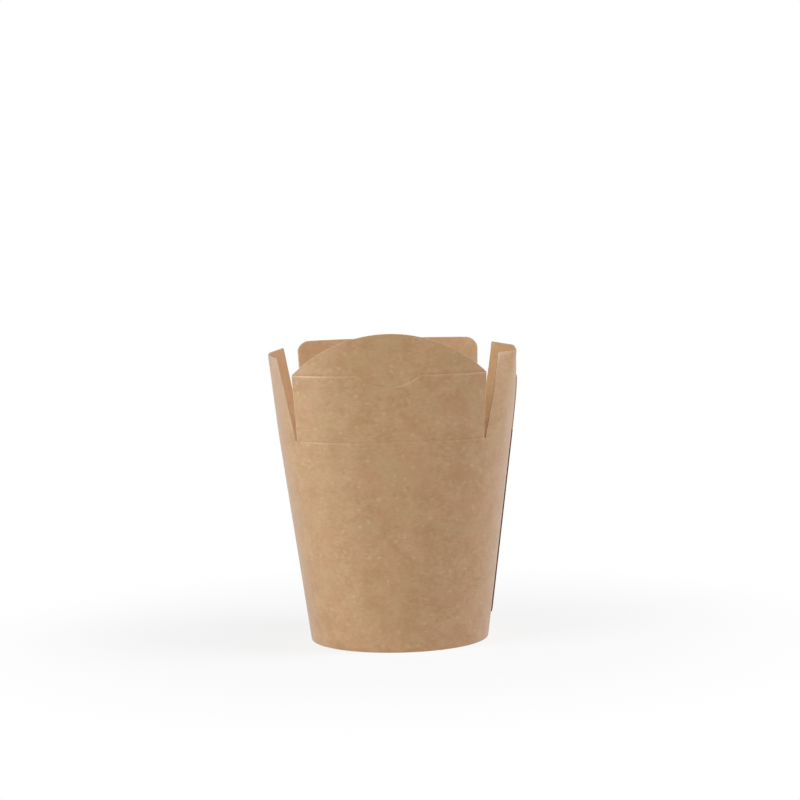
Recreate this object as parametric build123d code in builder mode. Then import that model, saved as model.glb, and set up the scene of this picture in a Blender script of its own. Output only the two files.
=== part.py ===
"""Folding food box of kraft card: a round-footed wall that opens into a rounded-square mouth with four flaps.

The wall and its flaps are one sheet, wrapped round and glued at a lap on the right. The sheet is a ruled skin:
its straight lines run from the round foot, through the mouth, to the tips of the flaps. The foot is turned up
inside as a hem, which grips the skirt of a raised base, as in a paper cup.
Millimetres, +Z up, origin at the middle of the foot. The front flap faces -Y.
"""

import os
from math import copysign, cos, radians, sin

from build123d import *

# Card
board = 0.5  # thickness of the card
glue_fit = 0.1  # room between glued layers
crease_gap = 0.3  # width of the line that a flap folds on

# Wall, a ruled skin from a round foot to a rounded-square mouth
foot_radius = 37.5
mouth_half_width = 49.0
mouth_half_depth = 45.0
mouth_squareness = 2.6  # exponent of the mouth's outline, where 2 is an ellipse
wall_height = 88.0  # from the foot to the creases
side_points = 8  # spans of the curve that draws a quarter of the outline

# Base
base_lift = 7.0  # underside of the base above the ground
hem_height = 6.0  # turned-up foot of the wall
skirt_clearance = 0.6  # below the skirt, inside the turn of the foot

# Flaps, with heights above the creases
pattern_shift = -2.0  # the flaps' middle, off the mouth's middle and away from the lap
corner_inset = 10.1  # from the mouth's side to the edge of the front and back flaps
panel_flare = 0.9  # how far each side of them has spread at the lip's fold
lip_fold = 27.2  # fold across the front flap
score_width = 0.6  # pressed line of that fold, on each side of the tongue
score_depth = 0.15
front_height = 44.5  # top of the front flap's arched lip
back_height = 36.0
back_corner = 4.2
slit_width = 1.2  # between neighbouring flaps at the crease
side_height = 34.5
side_spread = 5.8  # how far a side flap's edge has left the slit at its top
side_corner = 2.0

# Lock tongue, cut in the front flap below the lip's fold
tongue_half_width = 12.6
tongue_depth = 4.4
tongue_cut = 0.4

# Glued lap, where the sheet's outer end lies over its inner one, with turns in degrees from +X
lap_edge = -2.5  # turn of the free edge
lap_root = 9.0  # turn where the outer end has come level with the wall
lap_foot = 10.0  # lower end above the ground
lap_top = 22.8  # upper end above the creases
lap_chamfer = 2.5  # height of its cut corners
lap_cut = 1.5  # turn that a cut corner takes

panel_half_width = mouth_half_width - corner_inset  # front and back flaps at the crease
flap_foot = wall_height + crease_gap
sheet_top = wall_height + front_height
reach = 2 * mouth_half_width + sheet_top  # past everything, for cutting


def outline_point(turn, height, inset=0.0):
    """A point of the sheet's outline at a height, by its turn in radians from +X."""
    share = height / wall_height
    power = 2 / mouth_squareness
    across, along = cos(turn), sin(turn)
    mouth_x = (mouth_half_width - inset) * copysign(abs(across) ** power, across)
    mouth_y = (mouth_half_depth - inset) * copysign(abs(along) ** power, along)
    foot = foot_radius - inset
    x = (1 - share) * foot * across + share * mouth_x
    y = (1 - share) * foot * along + share * mouth_y
    return x, y


def quarter(start, height, inset=0.0):
    """A quarter of the sheet's outline at a height, filled to the axis, from a turn in degrees."""
    shares = [step / side_points for step in range(side_points + 1)]
    points = [outline_point(radians(start + 90 * share), height, inset) for share in shares]
    ways = [Vector(-sin(radians(turn)), cos(radians(turn))) for turn in (start, start + 90)]
    with BuildSketch(Plane.XY.offset(height)) as filled:
        with BuildLine():
            add(Edge.make_spline([Vector(*point) for point in points], tangents=ways, parameters=shares))
            Polyline(points[-1], (0, 0), points[0])
        make_face()
    return filled.sketch


def skin(low, high, inset=0.0, mode=Mode.ADD):
    """Fills, or clears, the space inside the sheet between two heights, a quarter at a time."""
    for start in (0, 90, 180, 270):
        loft([quarter(start, low, inset), quarter(start, high, inset)], ruled=True, mode=mode)


def lap_section(height, edge):
    """The lap at a height: a thin wedge on the wall, one board proud at its free edge."""
    edge_x, edge_y = outline_point(radians(edge), height)
    root_x, root_y = outline_point(radians(lap_root), height)
    with BuildSketch(Plane.XY.offset(height)) as wedge:
        with BuildLine():
            Polyline(
                (edge_x + board + glue_fit, edge_y),
                (root_x, root_y),
                (root_x - board / 2, root_y),
                (edge_x - board / 2, edge_y),
                close=True,
            )
        make_face()
    return wedge.sketch


# Wall, with its lap, its hollow, and its foot turned up inside as a hem
hem_inset = 2 * (board + glue_fit)
with BuildPart() as wall:
    skin(0, wall_height)
    lap_start = lap_section(lap_foot, lap_edge + lap_cut)
    lap_full = lap_section(lap_foot + lap_chamfer, lap_edge)
    loft([lap_start, lap_full, lap_section(wall_height, lap_edge)], ruled=True)
    skin(board, wall_height, board, Mode.SUBTRACT)
    skin(0, hem_height, hem_inset)
    skin(0, hem_height, hem_inset + board, Mode.SUBTRACT)
wall.part.label = "wall"

# Base, a disc with a skirt that stands in the fold of the foot
skirt_inset = board + glue_fit
with BuildPart() as base:
    skin(board + skirt_clearance, base_lift + board, skirt_inset)
    skin(board + skirt_clearance, base_lift, skirt_inset + board, Mode.SUBTRACT)
base.part.label = "base"

# Pressed line that the lip folds on, which stops at the ends of the tongue
left_edge = pattern_shift - panel_half_width
right_edge = pattern_shift + panel_half_width
fold_height = wall_height + lip_fold
with BuildPart() as score:
    skin(fold_height - score_width / 2, fold_height + score_width / 2, -board)
    skin(fold_height - score_width / 2, fold_height + score_width / 2, score_depth, Mode.SUBTRACT)
    with BuildSketch(Plane.XZ):
        with Locations((pattern_shift - tongue_half_width, fold_height)):
            Rectangle(reach, reach, align=(Align.MAX, Align.CENTER))
        with Locations((pattern_shift + tongue_half_width, fold_height)):
            Rectangle(reach, reach, align=(Align.MIN, Align.CENTER))
    extrude(amount=reach, mode=Mode.INTERSECT)

# Front flap, with an arched lip and the lock tongue's cut
with BuildPart() as front_flap:
    skin(flap_foot, sheet_top)
    skin(flap_foot, sheet_top, board, Mode.SUBTRACT)
    with BuildSketch(Plane.XZ):
        with BuildLine():
            left_fold = (left_edge - panel_flare, fold_height)
            right_fold = (right_edge + panel_flare, fold_height)
            Polyline(left_fold, (left_edge, flap_foot), (right_edge, flap_foot), right_fold)
            ThreePointArc(right_fold, (pattern_shift, sheet_top), left_fold)
        make_face()
    extrude(amount=reach, mode=Mode.INTERSECT)
    with BuildSketch(Plane.XZ):
        with BuildLine():
            ThreePointArc(
                (pattern_shift - tongue_half_width, fold_height),
                (pattern_shift, fold_height - tongue_depth),
                (pattern_shift + tongue_half_width, fold_height),
            )
        trace(line_width=tongue_cut)
    extrude(amount=reach, mode=Mode.SUBTRACT)
    add(score.part, mode=Mode.SUBTRACT)
front_flap.part.label = "front_flap"

# Back flap, lower and square, with rounded corners
back_top = wall_height + back_height
back_flare = panel_flare * back_height / lip_fold
with BuildPart() as back_flap:
    skin(flap_foot, back_top)
    skin(flap_foot, back_top, board, Mode.SUBTRACT)
    with BuildSketch(Plane.XZ) as back_outline:
        with BuildLine():
            Polyline(
                (left_edge, flap_foot),
                (right_edge, flap_foot),
                (right_edge + back_flare, back_top),
                (left_edge - back_flare, back_top),
                close=True,
            )
        make_face()
        fillet(back_outline.vertices().group_by(Axis.Y)[-1], back_corner)
    extrude(amount=-reach, mode=Mode.INTERSECT)
back_flap.part.label = "back_flap"

# Side flaps, each beyond the slits at its edges
side_top = wall_height + side_height
lap_end = wall_height + lap_top


def side_outline(side):
    """A side flap seen from the front, with side -1 on the left and 1 on the right."""
    foot_x = pattern_shift + side * (panel_half_width + slit_width)
    with BuildSketch(Plane.XZ) as outline:
        with BuildLine():
            Polyline(
                (foot_x, flap_foot),
                (foot_x + side * side_spread, side_top),
                (side * reach, side_top),
                (side * reach, flap_foot),
                close=True,
            )
        make_face()
        inner_top = outline.vertices().sort_by(Axis.Y)[-2:].sort_by_distance((foot_x, side_top, 0))[0]
        fillet(inner_top, side_corner)
    return outline.sketch


with BuildPart() as left_flap:
    skin(flap_foot, side_top)
    skin(flap_foot, side_top, board, Mode.SUBTRACT)
    extrude(side_outline(-1), amount=reach, both=True, mode=Mode.INTERSECT)
left_flap.part.label = "left_flap"

with BuildPart() as right_flap:
    skin(flap_foot, side_top)
    lap_full = lap_section(lap_end - lap_chamfer, lap_edge)
    lap_finish = lap_section(lap_end, lap_edge + lap_cut)
    loft([lap_section(flap_foot, lap_edge), lap_full, lap_finish], ruled=True)
    skin(flap_foot, side_top, board, Mode.SUBTRACT)
    extrude(side_outline(1), amount=reach, both=True, mode=Mode.INTERSECT)
right_flap.part.label = "right_flap"

os.makedirs("parts", exist_ok=True)
for piece in (wall, base, front_flap, back_flap, left_flap, right_flap):
    export_step(piece.part, f"parts/{piece.part.label}.step")
    print(piece.part.label, "volume", round(piece.part.volume, 1))
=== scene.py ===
# %% [markdown]
# # A folding food box in kraft card
# This lesson dresses the imported model of an open food box. The real box is one die-cut sheet of
# brown card, wrapped round and glued at a lap, with a pressed base in its foot. We load the packed
# model as a fixed frame, and then make each piece of card where the frame says it is.

# %% Load the frame
import math

import bpy
from mathutils import Matrix, Vector


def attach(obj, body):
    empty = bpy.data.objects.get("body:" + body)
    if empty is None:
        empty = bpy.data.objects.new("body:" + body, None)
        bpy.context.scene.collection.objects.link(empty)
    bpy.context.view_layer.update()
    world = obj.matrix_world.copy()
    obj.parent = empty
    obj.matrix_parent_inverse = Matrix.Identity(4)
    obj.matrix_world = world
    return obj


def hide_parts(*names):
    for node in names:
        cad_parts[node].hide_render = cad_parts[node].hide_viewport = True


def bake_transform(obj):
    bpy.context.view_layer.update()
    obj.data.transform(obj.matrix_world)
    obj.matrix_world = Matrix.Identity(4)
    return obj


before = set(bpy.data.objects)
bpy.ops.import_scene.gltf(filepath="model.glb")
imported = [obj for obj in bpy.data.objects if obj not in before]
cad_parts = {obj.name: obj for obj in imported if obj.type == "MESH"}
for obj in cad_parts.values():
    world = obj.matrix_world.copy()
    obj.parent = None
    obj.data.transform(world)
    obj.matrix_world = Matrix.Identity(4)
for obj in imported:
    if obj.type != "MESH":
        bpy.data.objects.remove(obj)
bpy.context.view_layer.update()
mm = 0.001

# %% [markdown]
# ## The form of the sheet
# The wall is round at the foot and a rounded square at the mouth. Straight lines run from one to
# the other and on into the flaps, as they must in card, which bends one way but doesn't stretch.
# No operator maps a flat sheet onto such a surface, so the blanks below are cut flat with
# operators and then wrapped by these few sums, the same ones that shaped the solids.

# %% The ruled surface
board = 0.5 * mm
foot_radius = 37.5 * mm
mouth_half_width = 49.0 * mm
mouth_half_depth = 45.0 * mm
mouth_squareness = 2.6  # exponent of the mouth's outline, where 2 is an ellipse
wall_height = 88.0 * mm


def sheet_point(turn, height, inset=0.0):
    """A point of the sheet, by its turn from +X, its height and its depth inside the outer face."""
    share = height / wall_height
    power = 2 / mouth_squareness
    across, along = math.cos(turn), math.sin(turn)
    mouth_x = (mouth_half_width - inset) * math.copysign(abs(across) ** power, across)
    mouth_y = (mouth_half_depth - inset) * math.copysign(abs(along) ** power, along)
    foot = foot_radius - inset
    x = (1 - share) * foot * across + share * mouth_x
    y = (1 - share) * foot * along + share * mouth_y
    return Vector((x, y, height))


def turn_where(axis, place, height, low, high, halvings=40):
    """The turn between two turns at which the sheet passes a place on the X (0) or Y (1) axis."""
    rising = sheet_point(high, height)[axis] > sheet_point(low, height)[axis]
    for _ in range(halvings):
        middle = (low + high) / 2
        if (sheet_point(middle, height)[axis] < place) == rising:
            low = middle
        else:
            high = middle
    return (low + high) / 2


print("mouth", sheet_point(0, wall_height)[0], sheet_point(math.pi / 2, wall_height)[1])

# %% [markdown]
# ## Finishes as expressions
# A finish is a small sum of noises, masks and colours. Written as Python expressions it reads like
# that sum. The class below wraps one output socket: an operator adds a Math node, and the node
# method adds any other node.

# %% A socket that can be added and multiplied
class Wire:
    """One output of a node tree. Arithmetic on wires adds Math nodes."""

    def __init__(self, tree, socket=None):
        self.tree = tree
        self.socket = socket

    def node(self, kind, settings=None, sockets=None, out=0):
        """Adds a node: its settings, then its sockets' values or wires. Returns one output."""
        made = self.tree.nodes.new(kind)
        for name, value in (settings or {}).items():
            setattr(made, name, value)
        for name, value in (sockets or {}).items():
            if isinstance(value, Wire):
                self.tree.links.new(value.socket, made.inputs[name])
            else:
                made.inputs[name].default_value = value
        return Wire(self.tree, made.outputs[out] if made.outputs else None)

    def math(self, operation, first, second=0.0):
        return self.node("ShaderNodeMath", {"operation": operation}, {0: first, 1: second})

    def __add__(self, other):
        return self.math("ADD", self, other)

    def __radd__(self, other):
        return self.math("ADD", other, self)

    def __sub__(self, other):
        return self.math("SUBTRACT", self, other)

    def __rsub__(self, other):
        return self.math("SUBTRACT", other, self)

    def __mul__(self, other):
        return self.math("MULTIPLY", self, other)

    def __rmul__(self, other):
        return self.math("MULTIPLY", other, self)

    def __pow__(self, other):
        return self.math("POWER", self, other)

    def __rpow__(self, other):
        return self.math("POWER", other, self)

    def __abs__(self):
        return self.math("ABSOLUTE", self)

    def band(self, low, high):
        """0 below low, 1 above high, smooth between."""
        return self.node(
            "ShaderNodeMapRange",
            {"interpolation_type": "SMOOTHSTEP"},
            {"Value": self, "From Min": low, "From Max": high},
        )


def empty_tree(owner):
    """The cleared node tree of a material or a world, as a wire to start from."""
    owner.use_nodes = True
    owner.node_tree.nodes.clear()
    return Wire(owner.node_tree)


def tone(red, green, blue):
    """A colour given in the 0 to 255 numbers of a picture, made linear for a shader."""
    parts = [v / 255 for v in (red, green, blue)]
    linear = [v / 12.92 if v <= 0.04045 else ((v + 0.055) / 1.055) ** 2.4 for v in parts]
    return (*linear, 1.0)


def mixed(wire, amount, first, second):
    """Two colours mixed by an amount."""
    return wire.node(
        "ShaderNodeMix", {"data_type": "RGBA"}, {0: amount, 6: first, 7: second}, out=2
    )


print("mid grey in linear light", [round(v, 3) for v in tone(128, 128, 128)])

# %% [markdown]
# ## Kraft card
# Unbleached kraft is matt and tan. Close up it is a felt of long fibres: cloudy patches some
# millimetres wide where the felt is thicker, hair-fine fibres that lie in several directions, pale
# and dark flecks, and a few specks of bark. One recipe with different colours serves the outside,
# the inside with its thin film, painted paler as light for the inner faces, and the cut edges, pale
# from bare fibres and painted paler still as a highlight. It reads the sheet's own map, in metres
# along and up the sheet, so the pattern runs on over the creases and never slides.

# %% The kraft recipe
pale_fibre = tone(226, 200, 168)
dark_fibre = tone(118, 80, 40)
bark = tone(110, 76, 48)
pale_speck = tone(224, 194, 154)
pale_blot = tone(222, 190, 150)
# Pale tone of the painted highlights on the front flap's fold and tongue cut
painted_highlight_tone = tone(226, 194, 152)


def kraft(name, tones, roughness, gloss=0.5, fibre=1.0, painted_highlights=None):
    """A kraft card finish. Its tones are the clouds' pale and deep ones, and two tints."""
    pale, deep, warm, straw = tones
    material = bpy.data.materials.new(name)
    start = empty_tree(material)
    sheet_map = start.node("ShaderNodeTexCoord", out=2)

    def noise(scale, detail, stretch=(1, 1, 1), turn=0.0, rough=0.5, warp=0.0):
        """Noise with a scale per metre, stretched and turned on the sheet."""
        moves = {"Vector": sheet_map, "Rotation": (0, 0, turn), "Scale": stretch}
        place = start.node("ShaderNodeMapping", None, moves)
        return start.node(
            "ShaderNodeTexNoise",
            {"noise_dimensions": "2D"},
            {
                "Vector": place,
                "Scale": scale,
                "Detail": detail,
                "Roughness": rough,
                "Distortion": warp,
            },
        )

    def hairs(scale, turn):
        """Noise drawn out into hairs that lie along a turn."""
        return noise(scale, detail=1, stretch=(0.15, 1.0, 1), turn=turn, warp=0.6)

    def flecks(scale, share, size):
        """Spots in a share of a Voronoi pattern's cells, picked by their random colour."""
        flat = {"voronoi_dimensions": "2D"}
        spot = {"Vector": sheet_map, "Scale": scale}
        near = start.node("ShaderNodeTexVoronoi", flat, spot)
        cell = start.node("ShaderNodeTexVoronoi", flat, spot, out=1)
        pick_one = start.node("ShaderNodeSeparateColor", None, {"Color": cell})
        return (1 - near.band(size * 0.4, size)) * pick_one.band(1 - share, 1 - share * 0.5)

    clouds = noise(130, detail=4, rough=0.6)
    patches = noise(75, detail=2, warp=0.5)
    drifts = noise(60, detail=2, stretch=(1, 1.2, 1), turn=1.1, warp=0.5)
    felt = noise(560, detail=3, stretch=(0.85, 1.1, 1), rough=0.6)
    along, askew, aslant = hairs(2600, 0.4), hairs(2400, 1.35), hairs(2400, -0.7)
    pale_hairs = along.band(0.62, 0.74) * 0.7 + askew.band(0.62, 0.74) * 0.7
    dark_hairs = aslant.band(0.62, 0.74) * 0.8 + (1 - along).band(0.64, 0.76) * 0.5
    thick = felt.band(0.36, 0.6)

    cloud_share = (clouds - 0.5) * 1.6 + (felt - 0.5) * 0.95 + 0.5
    colour = mixed(start, cloud_share.band(0.0, 1.0), deep, pale)
    layers = [
        (patches.band(0.48, 0.7) * 0.5, warm),
        (drifts.band(0.5, 0.7) * 0.5, straw),
        (pale_hairs * (0.12 * fibre), pale_fibre),
        (dark_hairs * (0.1 * fibre), dark_fibre),
        (flecks(230, share=0.12, size=0.09) * (0.3 * fibre), bark),
        (flecks(310, share=0.2, size=0.1) * (0.25 * fibre), pale_speck),
        (flecks(270, share=0.45, size=0.3) * thick * (0.2 * fibre), pale_blot),
        (flecks(190, share=0.3, size=0.24) * (1 - thick) * (0.18 * fibre), dark_fibre),
    ]
    # Painted highlights: pale lines where a fold or a cut edge would catch the light
    if painted_highlights:
        place = start.node("ShaderNodeSeparateXYZ", None, {"Vector": sheet_map})
        upward = start.node("ShaderNodeSeparateXYZ", None, {"Vector": sheet_map}, out=1)
        layers.append((painted_highlights(place, upward), painted_highlight_tone))
    for amount, layer in layers:
        colour = mixed(start, amount, colour, layer)

    height = felt * 0.6 + pale_hairs * 0.25 - dark_hairs * 0.2 + clouds * 0.5
    relief = {"Strength": 0.3, "Distance": 0.1 * mm, "Height": height}
    card = {
        "Base Color": colour,
        "Normal": start.node("ShaderNodeBump", None, relief),
        "Roughness": roughness + (felt - 0.5) * 0.16,
        "Specular IOR Level": gloss,
        "Sheen Weight": 0.35 * gloss,
        "Sheen Roughness": 0.45,
    }
    shader = start.node("ShaderNodeBsdfPrincipled", None, card)
    start.node("ShaderNodeOutputMaterial", None, {"Surface": shader})
    return material


def tones(*numbers):
    return [tone(*number) for number in numbers]


card_roughness = 0.43
card_gloss = 0.85
card_tones = tones((193, 149, 105), (177, 130, 79), (190, 139, 96), (185, 147, 97))
# The inside's tones: a lined face, painted paler to stand in for light the inner faces lack
film_tones_painted_lighter = tones((224, 181, 137), (210, 165, 120), (218, 167, 127), (216, 179, 127))
# Cut edges: pale bare fibres, made paler still as a painted highlight along every edge
bare_and_highlight_tones = tones((224, 192, 152), (210, 176, 136), (216, 178, 142), (216, 184, 140))
# The wall lap's free edge: a darker brown cut edge with painted shade of the narrow gap under it
edge_and_gap_shade_tones = tones((140, 86, 48), (112, 64, 32), (128, 74, 38), (124, 78, 40))
outside = kraft("kraft_outside", card_tones, card_roughness, gloss=card_gloss)
inside = kraft("kraft_inside", film_tones_painted_lighter, 0.6, gloss=0.3, fibre=0.5)
highlit_cut_edge = kraft("kraft_highlit_cut_edge", bare_and_highlight_tones, 0.85)
gap_shaded_lap_edge = kraft("kraft_gap_shaded_lap_edge", edge_and_gap_shade_tones, 0.9, gloss=0.0)
print("finishes", [m.name for m in (outside, inside, highlit_cut_edge, gap_shaded_lap_edge)])

# %% [markdown]
# ## Helpers for cutting a blank
# A flap starts as one flat face, as card lies on a cutting die. Straight cuts trim it to its
# outline, with a run of short cuts for each round corner and arch. More cuts that remove nothing
# slice it into small faces, so that it can bend. A blank stands in the XZ plane and is wrapped
# afterwards.

# %% Blank helpers
inside_slot, edge_slot = 1, 2  # places of the finishes in a card's list, after the outside's 0


def object_mode():
    bpy.ops.object.mode_set(mode="OBJECT")


def edit_all():
    """Edit mode with the whole mesh selected."""
    bpy.ops.object.mode_set(mode="EDIT")
    bpy.ops.mesh.select_all(action="SELECT")


def deselect():
    """Object mode with nothing selected, because an operator acts on all that is selected."""
    if bpy.context.object and bpy.context.object.mode != "OBJECT":
        object_mode()
    bpy.ops.object.select_all(action="DESELECT")


def pick(piece):
    """Makes one object the selected and active one."""
    deselect()
    piece.select_set(True)
    bpy.context.view_layer.objects.active = piece


def new_blank(name, left, right, low, high):
    """One flat face in the XZ plane, at its size and place, in edit mode."""
    deselect()
    centre = ((left + right) / 2, 0, (low + high) / 2)
    bpy.ops.mesh.primitive_plane_add(size=1, location=centre, rotation=(math.pi / 2, 0, 0))
    blank = bpy.context.object
    blank.name = blank.data.name = name
    blank.scale = (right - left, high - low, 1)
    bpy.ops.object.transform_apply(location=True, rotation=True, scale=True)
    bpy.ops.object.mode_set(mode="EDIT")
    return blank


def cut(point, normal, trim):
    """One straight cut right through. With trim, the side that the normal points to falls away."""
    bpy.ops.mesh.select_all(action="SELECT")
    bpy.ops.mesh.bisect(
        plane_co=(point[0], 0, point[1]),
        plane_no=(normal[0], 0, normal[1]),
        clear_outer=trim,
        use_fill=False,
        threshold=1e-7,
    )


def trim_line(start, end):
    """Trims along a line, and keeps what is on its left hand, going from start to end."""
    along = (end[0] - start[0], end[1] - start[1])
    cut(start, (along[1], -along[0]), True)


def trim_round(centre, radius, first, last, steps):
    """Trims to the inside of an arc, between two turns in degrees, by short cuts."""
    for step in range(steps + 1):
        turn = math.radians(first + (last - first) * step / steps)
        way = (math.cos(turn), math.sin(turn))
        cut((centre[0] + radius * way[0], centre[1] + radius * way[1]), way, True)


def bare_and_highlit_rim(blank, width=0.15 * mm):
    """A narrow pale band along the cut edges, of bared fibres and a painted highlight, but not on
    the crease.
    """
    bpy.ops.mesh.select_all(action="SELECT")
    bpy.ops.mesh.inset(thickness=width, use_boundary=True)
    object_mode()
    for face in blank.data.polygons:
        if not face.select and face.center.z > wall_height + width:
            face.material_index = edge_slot
    bpy.ops.object.mode_set(mode="EDIT")


def slice_blank(columns, rows):
    """Slices the blank at places along X and at heights."""
    for place in columns:
        cut((place, 0), (1, 0), False)
    for height in rows:
        cut((0, height), (0, 1), False)


def spread(low, high, step):
    """Even places between two ends, about a step apart, without the ends."""
    count = max(1, round((high - low) / step))
    return [low + (high - low) * i / count for i in range(1, count)]


print("slices of a 10 mm strip, about 3 mm apart", [round(v, 2) for v in spread(0, 10, 3)])

# %% [markdown]
# ## Wrapping and thickening
# A wrapped blank gets the card's thickness from a Solidify modifier, which also gives the inside
# and the cut edges their own finishes. The sheet's map is laid on before that, so that both faces
# share it.

# %% Wrapping and thickening
edge_press = 0.1 * mm  # how far the die rounds a cut edge inwards
seam_jump = 0.1  # a face whose map is wider than this lies across the back, where the map ends


def mouth_lengths(steps=720):
    """Lengths along the mouth's outline from the front's middle, at even turns, one way round."""
    lengths = [0.0]
    last = sheet_point(-math.pi / 2, wall_height)
    for step in range(1, steps + 1):
        point = sheet_point(-math.pi / 2 + math.pi * step / steps, wall_height)
        lengths.append(lengths[-1] + (point - last).length)
        last = point
    return lengths


mouth_length = mouth_lengths()


def way_round(turn, height):
    """Metres round the sheet from the front's middle, with the left side negative."""
    off = math.remainder(turn + math.pi / 2, 2 * math.pi)
    place = abs(off) / math.pi * (len(mouth_length) - 1)
    step = min(int(place), len(mouth_length) - 2)
    next_part = mouth_length[step + 1] - mouth_length[step]
    at_mouth = mouth_length[step] + (place - step) * next_part
    share = height / wall_height
    return math.copysign((1 - share) * foot_radius * abs(off) + share * at_mouth, off)


def new_chart(mesh):
    """An empty map in place of the primitive's own."""
    while mesh.uv_layers:
        mesh.uv_layers.remove(mesh.uv_layers[0])
    return mesh.uv_layers.new(name="sheet")


def lay_map(piece, turns):
    """The sheet's own map: metres round the sheet, and metres up it."""
    mesh = piece.data
    chart = new_chart(mesh)
    for face in mesh.polygons:
        corners = [mesh.loops[i].vertex_index for i in face.loop_indices]
        ways = [way_round(turns[v], mesh.vertices[v].co.z) for v in corners]
        behind = max(ways) - min(ways) > seam_jump
        for i, v, way in zip(face.loop_indices, corners, ways):
            chart.data[i].uv = (abs(way) if behind else way, mesh.vertices[v].co.z)


def wrap(blank, bend):
    """Moves each point of a flat blank to its place, and lays the sheet's map on it."""
    object_mode()
    mesh = blank.data
    uses = {}
    for face in mesh.polygons:
        for key in face.edge_keys:
            uses[key] = uses.get(key, 0) + 1
    border = {v for key, count in uses.items() if count == 1 for v in key}
    turns = []
    for vertex in mesh.vertices:
        turn, place = bend(vertex.co.copy())
        if vertex.index in border and vertex.co.z > wall_height:
            place -= edge_press * Vector((place.x, place.y, 0)).normalized()
        vertex.co = place
        turns.append(turn)
    lay_map(blank, turns)


def away_from_axis(middle, normal):
    return normal.x * middle.x + normal.y * middle.y > 0


def face_out(piece, outward):
    """Turns all faces alike, so that most pass a test of their middle and normal."""
    pick(piece)
    edit_all()
    bpy.ops.mesh.normals_make_consistent(inside=False)
    object_mode()
    votes = sum(1 if outward(face.center, face.normal) else -1 for face in piece.data.polygons)
    if votes < 0:
        edit_all()
        bpy.ops.mesh.flip_normals()
        object_mode()


def thicken(piece, finishes, smooth=30):
    """Gives a wrapped blank its board, inwards. Edges under the smooth angle, in degrees, blur."""
    for finish in finishes:
        piece.data.materials.append(finish)
    pick(piece)
    solid = piece.modifiers.new("board", "SOLIDIFY")
    solid.thickness = board
    solid.offset = -1
    solid.use_even_offset = True
    solid.material_offset = inside_slot
    solid.material_offset_rim = edge_slot
    bpy.ops.object.modifier_apply(modifier=solid.name)
    bpy.ops.object.shade_smooth_by_angle(angle=math.radians(smooth))
    print(piece.name, "faces", len(piece.data.polygons))


def make_card(blank, bend, finishes):
    """Turns a cut blank into a piece of card."""
    wrap(blank, bend)
    face_out(blank, away_from_axis)
    thicken(blank, finishes)
    return blank


print("half way round the mouth", round(mouth_length[-1], 4))

# %% [markdown]
# ## The creases
# A crease is a line pressed into the card. Here it is a shallow valley a millimetre wide, shared
# by the top of the wall and the foot of each flap, so that it catches a thin shade and a thin
# light as the real one does.

# %% Crease profile
crease_depth = 0.08 * mm
crease_half = 0.55 * mm
crease_steps = (0.12 * mm, 0.25 * mm, 0.4 * mm, crease_half)  # slices on each side of its middle


def valley(distance):
    """Depth of the pressed line at a distance from its middle."""
    share = min(abs(distance) / crease_half, 1)
    return crease_depth * (1 - share * share * (3 - 2 * share))


def pressed_rows(height):
    """Slices round a pressed line."""
    return [height + way for way in (*(-d for d in reversed(crease_steps)), 0, *crease_steps)]


crease_rows = [wall_height + d for d in crease_steps]  # slices at the foot of a flap
print("crease depth", crease_depth, "at its first slice", round(valley(crease_steps[0]), 6))

# %% [markdown]
# ## The wall
# The wall is the lower part of the sheet, turned up inside at the foot as a hem. It could be a
# cylinder with its top scaled, but a ring that is extruded row by row gives each row its own
# height, and a few close rows make the two tight bends of the foot. The rows are counted on the
# way, and each is then moved to its place on the ruled surface.

# %% Wall
wall_columns = 288
below_crease = 0.9 * mm
wall_top_row, wall_row_step, wall_row_count = 86, 2.2, 39  # plain rows, in millimetres
hem_inset = 1.7 * mm
hem_rows = (2.5 * mm, 4.2 * mm, 6.0 * mm)
above_hem = 7 * mm
foot_bend = 0.55 * mm
bend_turns = [math.radians(22.5 * step) for step in range(5)]


def wall_rows():
    """Height and inset of each row of the outer face, from the crease down and up the hem."""
    rows = [(wall_height - d, valley(d)) for d in (0, *crease_steps, below_crease)]
    rows += [((wall_top_row - wall_row_step * i) * mm, 0.0) for i in range(wall_row_count)]
    for turn in bend_turns:
        down, across = foot_bend * math.sin(turn), foot_bend * math.cos(turn)
        rows.append((foot_bend - down, foot_bend - across))
    for turn in bend_turns:
        across, up = foot_bend * math.sin(turn), foot_bend * math.cos(turn)
        rows.append((foot_bend - up, hem_inset - foot_bend + across))
    return rows + [(height, hem_inset) for height in hem_rows]


def make_wall():
    rows = wall_rows()
    deselect()
    bpy.ops.mesh.primitive_circle_add(
        vertices=wall_columns, radius=mouth_half_width, fill_type="NOTHING"
    )
    wall = bpy.context.object
    wall.name = wall.data.name = "wall_card"
    edit_all()
    for _ in rows[1:]:
        bpy.ops.mesh.extrude_region_move(TRANSFORM_OT_translate={"value": (0, 0, -mm)})
    object_mode()
    turns = []
    for vertex in wall.data.vertices:
        height, inset = rows[round(-vertex.co.z / mm)]
        turn = math.atan2(vertex.co.y, vertex.co.x)
        vertex.co = sheet_point(turn, height, inset)
        turns.append(turn)
    lay_map(wall, turns)
    face_out(wall, lambda middle, normal: away_from_axis(middle, normal) == (middle.z > above_hem))
    thicken(wall, (outside, inside, highlit_cut_edge))
    return wall


wall_card = make_wall()
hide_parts("wall")
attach(wall_card, "cup")

# %% [markdown]
# ## The front flap
# The front flap is a tall panel with a fold across it and an arched lip above the fold. Its blank
# is trimmed along two flared sides and round the arch, and sliced finely near the crease and the
# fold, where the pressed lines are. The fold and the tongue's cut get painted highlights, pale
# lines where they would catch the light, so this flap has a finish of its own with those lines in
# it.

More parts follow.
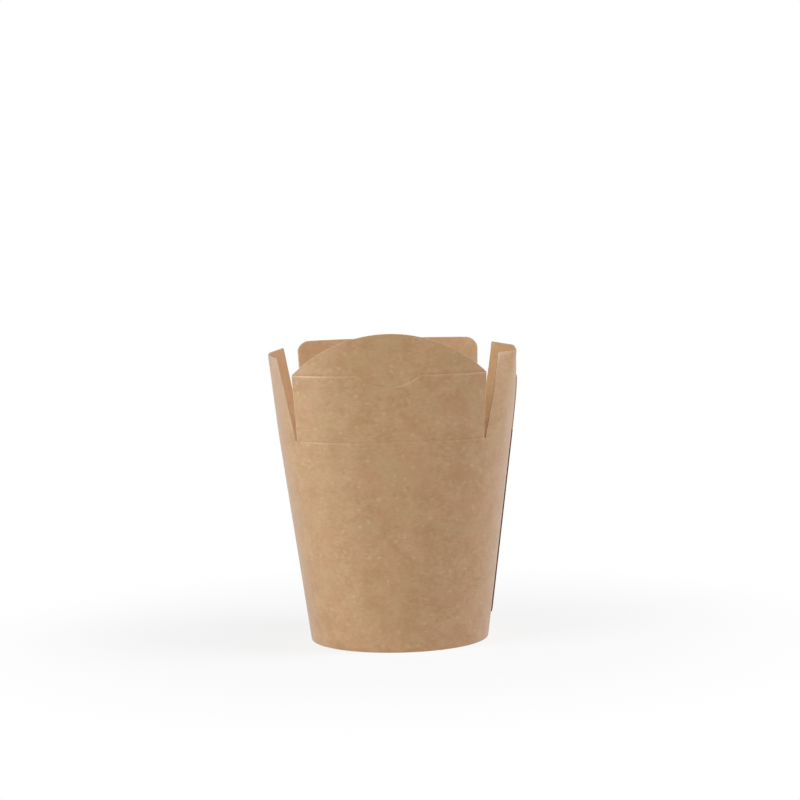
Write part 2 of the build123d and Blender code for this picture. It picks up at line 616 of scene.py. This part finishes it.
# %% Front flap finish
pattern_shift = -2.0 * mm  # the flaps' middle, off the mouth's middle and away from the lap
panel_half_width = 38.4 * mm
panel_flare = 1.5 * mm
lip_fold = wall_height + 27.5 * mm
front_top = wall_height + 44.5 * mm
left_edge = pattern_shift - panel_half_width
right_edge = pattern_shift + panel_half_width
tongue_half_width = 12.6 * mm
tongue_depth = 4.7 * mm
tongue_radius = (tongue_half_width ** 2 + tongue_depth ** 2) / (2 * tongue_depth)
tongue_centre = lip_fold - tongue_depth + tongue_radius

fold_highlight = (0.15 * mm, 0.5 * mm)  # half widths at which a painted highlight line starts to fade and has gone
arc_highlight = (0.12 * mm, 0.45 * mm)
fold_highlight_drop = 0.25 * mm
arc_highlight_drop = 0.2 * mm
past_tongue_fade = 2 * mm
arc_highlight_top = 0.4 * mm
rightward_fade = (-4 * mm, 9 * mm)


def front_painted_highlights(place, upward):
    """Painted highlights as pale lines: the lower lip of the fold, and the tongue's cut, more to
    the right.
    """
    beside = place - pattern_shift
    off_fold = abs(upward - (lip_fold - fold_highlight_drop))
    past_tongue = abs(beside).band(tongue_half_width, tongue_half_width + past_tongue_fade)
    fold_line = (1 - off_fold.band(*fold_highlight)) * past_tongue
    above = upward - tongue_centre
    off_arc = abs((beside * beside + above * above) ** 0.5 - (tongue_radius + arc_highlight_drop))
    below_fold = 1 - upward.band(lip_fold - arc_highlight_top, lip_fold)
    arc_line = (1 - off_arc.band(*arc_highlight)) * below_fold
    rightward = 0.1 + beside.band(*rightward_fade) * 0.9
    return fold_line * 0.1 + arc_line * rightward * 0.45


# The front flap's finish, with its painted highlights
highlighted_front = kraft("kraft_front", card_tones, card_roughness, gloss=card_gloss, painted_highlights=front_painted_highlights)
print("front flap finish", highlighted_front.name)

# %% Front flap blank
fold_press = 1.7  # depth of the lip's fold, against a crease
front_margin = 2 * mm
front_step, front_row_step = 0.9 * mm, 1.2 * mm


def front_place(point):
    """Wraps a point of the front blank: it keeps its X and its height, and goes to the front."""
    turn = turn_where(0, point.x, point.z, -math.pi, 0.0)
    inset = valley(point.z - wall_height)
    if abs(point.x - pattern_shift) > tongue_half_width:
        inset += fold_press * valley(point.z - lip_fold)
    return turn, sheet_point(turn, point.z, inset)


def make_front():
    left, right = left_edge - front_margin, right_edge + front_margin
    blank = new_blank("front_card", left, right, wall_height, front_top)
    trim_line((right_edge, wall_height), (right_edge + panel_flare, lip_fold))
    trim_line((left_edge - panel_flare, lip_fold), (left_edge, wall_height))
    half = panel_half_width + panel_flare
    rise = front_top - lip_fold
    radius = (half * half + rise * rise) / (2 * rise)
    lean = math.degrees(math.asin(half / radius))
    trim_round((pattern_shift, front_top - radius), radius, 90 - lean, 90 + lean, steps=30)
    bare_and_highlit_rim(blank)
    rows = crease_rows + pressed_rows(lip_fold)
    rows += spread(wall_height + crease_half, lip_fold - crease_half, front_row_step)
    rows += spread(lip_fold + crease_half, front_top, front_row_step)
    slice_blank(spread(left, right, front_step), rows)
    return make_card(blank, front_place, (highlighted_front, inside, highlit_cut_edge))


front_card = make_front()

# %% [markdown]
# ## The lock tongue
# The tongue is a curved cut below the lip's fold. When the lip folds back, the tongue stands up
# and locks. A thin plate spun along the arc makes the blade, and a Boolean cuts with it. The cut
# leaves a few points almost on top of each other, so those are merged. The tongue is then pushed
# in by a hair, as on the real box, so that the lower edge of the cut catches the light.

# %% Tongue cut
blade_half = 0.06 * mm
blade_middle = -46 * mm  # along Y, with the card well inside the blade's reach
blade_reach = 8 * mm
blade_steps = 40
merge_within = 0.025 * mm
flat_below = 0.003 * mm
tongue_push = 0.15 * mm


def make_blade(centre):
    sweep = 2 * math.asin(tongue_half_width / tongue_radius)
    deselect()
    bpy.ops.mesh.primitive_plane_add(size=1, location=(0, 0, 0))
    blade = bpy.context.object
    blade.name = "tongue_blade"
    start = math.radians(-90) - sweep / 2
    for vertex, (out, deep) in zip(blade.data.vertices, ((-1, -1), (1, -1), (-1, 1), (1, 1))):
        reach = tongue_radius + out * blade_half
        vertex.co = (
            centre.x + reach * math.cos(start),
            blade_middle + deep * blade_reach,
            centre.z + reach * math.sin(start),
        )
    edit_all()
    bpy.ops.mesh.spin(steps=blade_steps, angle=sweep, center=centre, axis=(0, 1, 0))
    bpy.ops.mesh.select_all(action="SELECT")
    bpy.ops.mesh.normals_make_consistent(inside=False)
    object_mode()
    return blade


def cut_tongue(card):
    centre = Vector((pattern_shift, 0, tongue_centre))
    blade = make_blade(centre)
    pick(card)
    slit = card.modifiers.new("tongue", "BOOLEAN")
    slit.operation = "DIFFERENCE"
    slit.solver = "EXACT"
    slit.object = blade
    bpy.ops.object.modifier_apply(modifier=slit.name)
    bpy.data.objects.remove(blade)
    edit_all()
    bpy.ops.mesh.remove_doubles(threshold=merge_within)
    bpy.ops.mesh.dissolve_degenerate(threshold=flat_below)
    object_mode()
    for vertex in card.data.vertices:
        co = vertex.co
        off = math.hypot(co.x - centre.x, co.z - centre.z)
        if co.z < lip_fold and off < tongue_radius:
            vertex.co.y += tongue_push * (lip_fold - co.z) / tongue_depth
    pick(card)
    bpy.ops.object.shade_smooth_by_angle(angle=math.radians(30))
    print("front card faces", len(card.data.polygons))


cut_tongue(front_card)
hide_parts("front_flap")
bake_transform(front_card)

# %% [markdown]
# ## The back flap
# The back flap is lower and square, with rounded upper corners. It is the same work with two short
# arcs.

# %% Back flap
back_top = wall_height + 36.0 * mm
back_corner = 5.0 * mm
back_foot = (-40.0 * mm, 36.2 * mm)  # its left and right edges at the crease
back_head = (-41.9 * mm, 36.9 * mm)  # and at its top
back_margin = mm
flap_step, flap_row_step = 1.0 * mm, 1.3 * mm


def back_place(point):
    turn = turn_where(0, point.x, point.z, math.pi, 0.0)
    return turn, sheet_point(turn, point.z, valley(point.z - wall_height))


def make_back():
    left, right = back_head[0] - back_margin, back_head[1] + back_margin
    blank = new_blank("back_card", left, right, wall_height, back_top)
    trim_line((back_foot[1], wall_height), (back_head[1], back_top))
    trim_line((back_head[0], back_top), (back_foot[0], wall_height))
    high = back_top - back_corner
    trim_round((back_head[1] - back_corner, high), back_corner, 5, 85, steps=8)
    trim_round((back_head[0] + back_corner, high), back_corner, 95, 175, steps=8)
    bare_and_highlit_rim(blank)
    rows = crease_rows + spread(wall_height + crease_half, back_top, flap_row_step)
    slice_blank(spread(left, right, flap_step), rows)
    return make_card(blank, back_place, (outside, inside, highlit_cut_edge))


back_card = make_back()
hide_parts("back_flap")
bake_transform(back_card)

# %% [markdown]
# ## The side flaps
# Each side flap stands between two slits that open upwards. Its blank is drawn as seen from the
# side, so the flat face's X stands for the box's Y here, and the wrap sets it round the corner of
# the mouth. Freed by its slits, the card springs away from the ruled surface towards the top,
# where it is a flat side between two tight turns. The lap stiffens the right flap, so that one
# springs late, above the lap.

# %% Side flaps
side_height = 34.5 * mm
side_top = wall_height + side_height
side_corner = 0.6 * mm
side_margin = 2 * mm
slit_width = 0.7 * mm
side_spread = 6.8 * mm  # how far a side flap's edge has left the slit at its top
side_plans = {  # the top edge seen from above, in millimetres, from the front to the back
    -1: ((-48.0, -33.8), (-52.2, -17.0), (-52.3, -2.0), (-47.5, 23.4)),
    1: ((43.1, -29.0), (51.2, -20.5), (51.4, 10.5), (42.9, 33.4)),
}
plan_offsets = [0.75 * step for step in range(-4, 5)]  # places that are averaged to round a plan
spring_power = {-1: 1, 1: 3}


def side_edge(side, height):
    """How far a side flap reaches towards the front at a height."""
    share = (height - wall_height) / side_height
    place = pattern_shift + side * (panel_half_width + slit_width + side_spread * share)
    turn = turn_where(0, place, height, 0.0, math.pi)
    return sheet_point(turn, height)[1]


def side_turn(side, depth, height):
    """The turn at which the sheet's left or right side passes a depth."""
    ends = (-math.pi / 2, math.pi / 2) if side > 0 else (-math.pi / 2, -3 * math.pi / 2)
    return turn_where(1, depth, height, *ends)


def plan_x(plan, depth):
    """X of a plan line at a depth, in millimetres, with its end parts run on."""
    for (x0, y0), (x1, y1) in zip(plan, plan[1:]):
        if depth <= y1:
            break
    return x0 + (x1 - x0) * (depth - y0) / (y1 - y0)


def spring(side, depth, height):
    """How far a side flap has sprung from the ruled surface: nothing at the crease, most on top."""
    rise = (height - wall_height) / (side_top - wall_height)
    if rise <= 0:
        return Vector((0, 0, 0))
    share = depth / side_edge(side, height)
    ruled = sheet_point(side_turn(side, share * side_edge(side, side_top), side_top), side_top)
    plan = side_plans[side]
    top_depth = plan[0][1] + (1 + share) / 2 * (plan[-1][1] - plan[0][1])
    top_x = sum(plan_x(plan, top_depth + offset) for offset in plan_offsets) / len(plan_offsets)
    return (Vector((top_x * mm, top_depth * mm, side_top)) - ruled) * rise ** spring_power[side]


def side_place(side):
    def bend(point):
        turn = side_turn(side, point.x, point.z)
        place = sheet_point(turn, point.z, valley(point.z - wall_height))
        return math.atan2(math.sin(turn), math.cos(turn)), place + spring(side, point.x, point.z)

    return bend


def make_side(name, side):
    low, high = side_edge(side, wall_height), side_edge(side, side_top)
    wide = max(low, high) + side_margin
    blank = new_blank(name, -wide, wide, wall_height, side_top)
    trim_line((low, wall_height), (high, side_top))
    trim_line((-high, side_top), (-low, wall_height))
    for way in (1, -1):
        middle = (way * (high - side_corner), side_top - side_corner)
        trim_round(middle, side_corner, 90 - way * 80, 90 - way * 10, steps=4)
    bare_and_highlit_rim(blank)
    rows = crease_rows + spread(wall_height + crease_half, side_top, flap_row_step)
    slice_blank(spread(-wide, wide, flap_step), rows)
    return make_card(blank, side_place(side), (outside, inside, highlit_cut_edge))


for name, side in (("left", -1), ("right", 1)):
    card = make_side(name + "_card", side)
    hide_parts(name + "_flap")
    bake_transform(card)

# %% [markdown]
# ## The glued lap
# The sheet's outer end lies over its inner one on the right. Seen from the front its free edge is
# the dark line on that side of the wall: a darker brown cut edge with painted shade of the narrow
# gap under it. On the flap the edge is plain. The lap is a narrow strip with cut corners that rises
# from the wall to a little over one board proud. It has one piece on the wall and one on the right
# flap.

# %% Lap strips
lap_edge_turn = math.radians(-2.5)
lap_root_turn = math.radians(9.0)
lap_foot = 10.0 * mm
lap_top = wall_height + 22.8 * mm
lap_chamfer = 2.5 * mm  # height of its cut corners
lap_corner = 1.1 * mm  # and their width
lap_radius = 43.0 * mm  # of the wall there, to turn a way round into a turn
lap_width = lap_radius * (lap_root_turn - lap_edge_turn)
lap_stand = board + 0.12 * mm
lap_sink = 0.06 * mm  # how deep its root lies in the wall
lap_curve = 1.3
lap_step, lap_row_step = 0.5 * mm, 1.5 * mm


def lap_place(point):
    """Wraps a point of the lap, whose flat X is its way round the wall from the free edge."""
    turn = lap_edge_turn + point.x / lap_radius
    share = min(max(point.x / lap_width, 0), 1)
    proud = lap_stand * (1 - share) ** lap_curve - lap_sink
    place = sheet_point(turn, point.z, valley(point.z - wall_height) - proud)
    return turn, place + spring(1, place.y, point.z)


def make_lap(name, low, high, cut_low, cut_high, edge):
    blank = new_blank(name, 0, lap_width, low, high)
    if cut_low:
        trim_line((0, low + lap_chamfer), (lap_corner, low))
    if cut_high:
        trim_line((lap_corner, high), (0, high - lap_chamfer))
    rows = spread(low, high, lap_row_step)
    rows += [h for h in pressed_rows(wall_height) if low < h < high]
    slice_blank(spread(0, lap_width, lap_step), rows)
    return make_card(blank, lap_place, (outside, inside, edge))


wall_lap = make_lap("wall_lap", lap_foot, wall_height, True, False, gap_shaded_lap_edge)
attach(wall_lap, "cup")
flap_lap = make_lap("flap_lap", wall_height, lap_top, False, True, outside)
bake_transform(flap_lap)

# %% [markdown]
# ## The base
# The base is a pressed disc whose rim is turned down as a skirt, and the skirt stands in the fold
# of the foot. A filled circle is inset into rings and its edge is extruded down for the skirt. The
# outermost ring is then lowered for the press's round, before the board is given its thickness.

# %% Base
base_columns = 192
base_top = 7.5 * mm
base_rings = (1.0, 3.0, 8.0, 10.0)  # widths in millimetres, from the rim inwards
pressed_ring = 3.0  # the ring that is pressed down a little
ring_depth = 0.05 * mm
skirt_drops = (1.0, 1.4, 2.0, 2.0)  # heights of its rows in millimetres
skirt_inset = 0.6 * mm
round_start = 0.965  # share of the radius at which the press's round starts
round_drop = 0.5 * mm
disc_above = 7 * mm


def make_base():
    deselect()
    bpy.ops.mesh.primitive_circle_add(
        vertices=base_columns, radius=foot_radius, fill_type="NGON", location=(0, 0, base_top)
    )
    base = bpy.context.object
    base.name = base.data.name = "base_card"
    bpy.ops.object.transform_apply(location=True, rotation=True, scale=True)
    edit_all()
    for width in base_rings:
        bpy.ops.mesh.inset(thickness=width * mm, depth=-ring_depth if width == pressed_ring else 0)
    bpy.ops.mesh.select_all(action="DESELECT")
    bpy.ops.mesh.select_mode(type="EDGE")
    bpy.ops.mesh.select_non_manifold(
        extend=False, use_wire=False, use_multi_face=False, use_verts=False
    )
    for drop in skirt_drops:
        bpy.ops.mesh.extrude_edges_move(TRANSFORM_OT_translate={"value": (0, 0, -drop * mm)})
    object_mode()
    for vertex in base.data.vertices:
        co = vertex.co
        share = math.hypot(co.x, co.y) / foot_radius
        rim = sheet_point(math.atan2(co.y, co.x), co.z, skirt_inset)
        soft = max(0.0, min(1.0, (share - round_start) / (1 - round_start)))
        drop = round_drop * soft ** 3 if co.z > disc_above else 0.0
        vertex.co = (rim.x * share, rim.y * share, co.z - drop)
    chart = new_chart(base.data)
    for loop in base.data.loops:
        co = base.data.vertices[loop.vertex_index].co
        chart.data[loop.index].uv = (co.x, co.y + co.z)
    face_out(base, lambda middle, normal: normal.z > 0.5 or away_from_axis(middle, normal))
    thicken(base, (inside, outside, highlit_cut_edge), smooth=50)
    return base


base_card = make_base()
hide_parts("base")
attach(base_card, "cup")

# %% [markdown]
# ## Floor
# The box stands on a plain white floor. The camera and reflections see it as plain white, a little
# less so near the box, where it keeps the box's soft shadow. As light on the box it is a matt
# white card.

# %% Floor
floor_size = 6
floor_white = (0.88, 0.88, 0.88, 1)
pure_white = (1, 1, 1, 1)
white_near, white_more = 0.82, 0.18  # share of plain white near the box, and what far adds
white_reach = (0.05, 0.22)


def seen_as_white(start):
    """1 for the camera, for reflections and through glass, and 0 for light on the object."""
    camera, glossy, clear = (start.node("ShaderNodeLightPath", out=i) for i in (0, 3, 6))
    return start.math("MINIMUM", camera + glossy + clear, 1.0)


def make_floor():
    deselect()
    bpy.ops.mesh.primitive_plane_add(size=floor_size, location=(0, 0, 0))
    floor = bpy.context.object
    floor.name = "floor"
    material = bpy.data.materials.new("white_floor")
    start = empty_tree(material)
    matt = start.node("ShaderNodeBsdfDiffuse", None, {"Color": floor_white})
    glow = start.node("ShaderNodeEmission", None, {"Color": pure_white, "Strength": 1.0})
    place = start.node("ShaderNodeTexCoord", out=3)
    far = start.node("ShaderNodeVectorMath", {"operation": "LENGTH"}, {0: place}, out=1)
    share = seen_as_white(start) * (white_near + far.band(*white_reach) * white_more)
    both = start.node("ShaderNodeMixShader", None, {0: share, 1: matt, 2: glow})
    start.node("ShaderNodeOutputMaterial", None, {"Surface": both})
    floor.data.materials.append(material)
    print("floor", floor_size, "m wide")


make_floor()

# %% [markdown]
# ## Sky
# The sky is white to the camera and in reflections. As a light it is kept very weak, because the
# lamps do the work.

# %% Sky
sky_strength = 0.02


def make_sky():
    world = bpy.data.worlds.new("studio_sky")
    bpy.context.scene.world = world
    start = empty_tree(world)
    plain = start.node(
        "ShaderNodeBackground", None, {"Color": pure_white, "Strength": sky_strength}
    )
    white = start.node("ShaderNodeBackground", None, {"Color": pure_white, "Strength": 1.0})
    sky = start.node("ShaderNodeMixShader", None, {0: seen_as_white(start), 1: plain, 2: white})
    start.node("ShaderNodeOutputWorld", None, {"Surface": sky})
    print("sky", world.name, sky_strength)


make_sky()

# %% [markdown]
# ## Lamps
# Two broad lamps light the box, as two soft boxes would in a studio. One on the left makes that
# side of the wall pale and lets it darken towards the middle. One high on the right lifts the far
# edge again.

# %% Lamps
lamp_aim = (0, 0, 0.07)


def lamp(name, place, size, power, tint):
    light = bpy.data.lights.new(name, "AREA")
    light.shape = "RECTANGLE"
    light.size, light.size_y = size
    light.energy = power
    light.color = tint
    holder = bpy.data.objects.new(name, light)
    bpy.context.collection.objects.link(holder)
    holder.location = place
    holder.rotation_euler = (Vector(lamp_aim) - Vector(place)).to_track_quat("-Z", "Y").to_euler()
    print(name, power, "W")


lamp("left_window", (-0.99, -0.57, 0.45), size=(0.8, 0.9), power=13.1, tint=(0.95, 1.02, 1.06))
lamp("right_card", (0.96, -0.2, 0.8), size=(0.6, 0.8), power=11.1, tint=(0.99, 1.0, 1.04))

# %% [markdown]
# ## Camera
# The picture looks almost level at the front flap, from a little over a metre away, and hangs a
# degree out of level.

# %% Camera
camera_lift = math.radians(5.395)
camera_roll = math.radians(1.366)
camera_aim = Vector((0, 0, 0.1011))
camera_distance = 1.15
sensor_width = 36
picture_width = 800  # pixels
focal_length = 2725  # pixels
sideways_shift = 5.55  # pixels


def make_camera():
    ahead = Vector((0, math.cos(camera_lift), -math.sin(camera_lift)))
    level = Vector((1, 0, 0))
    above = Vector((0, math.sin(camera_lift), math.cos(camera_lift)))
    right = level * math.cos(camera_roll) - above * math.sin(camera_roll)
    up = level * math.sin(camera_roll) + above * math.cos(camera_roll)
    place = camera_aim - ahead * camera_distance
    data = bpy.data.cameras.new("photo_camera")
    data.sensor_width = sensor_width
    data.lens = sensor_width * focal_length / picture_width
    data.shift_x = sideways_shift / picture_width
    camera = bpy.data.objects.new("photo_camera", data)
    bpy.context.collection.objects.link(camera)
    turn = Matrix((right, up, -ahead)).transposed().to_4x4()
    camera.matrix_world = Matrix.Translation(place) @ turn
    bpy.context.scene.camera = camera
    print("camera at", [round(v, 3) for v in place])


make_camera()
bpy.context.scene.view_settings.view_transform = "Standard"
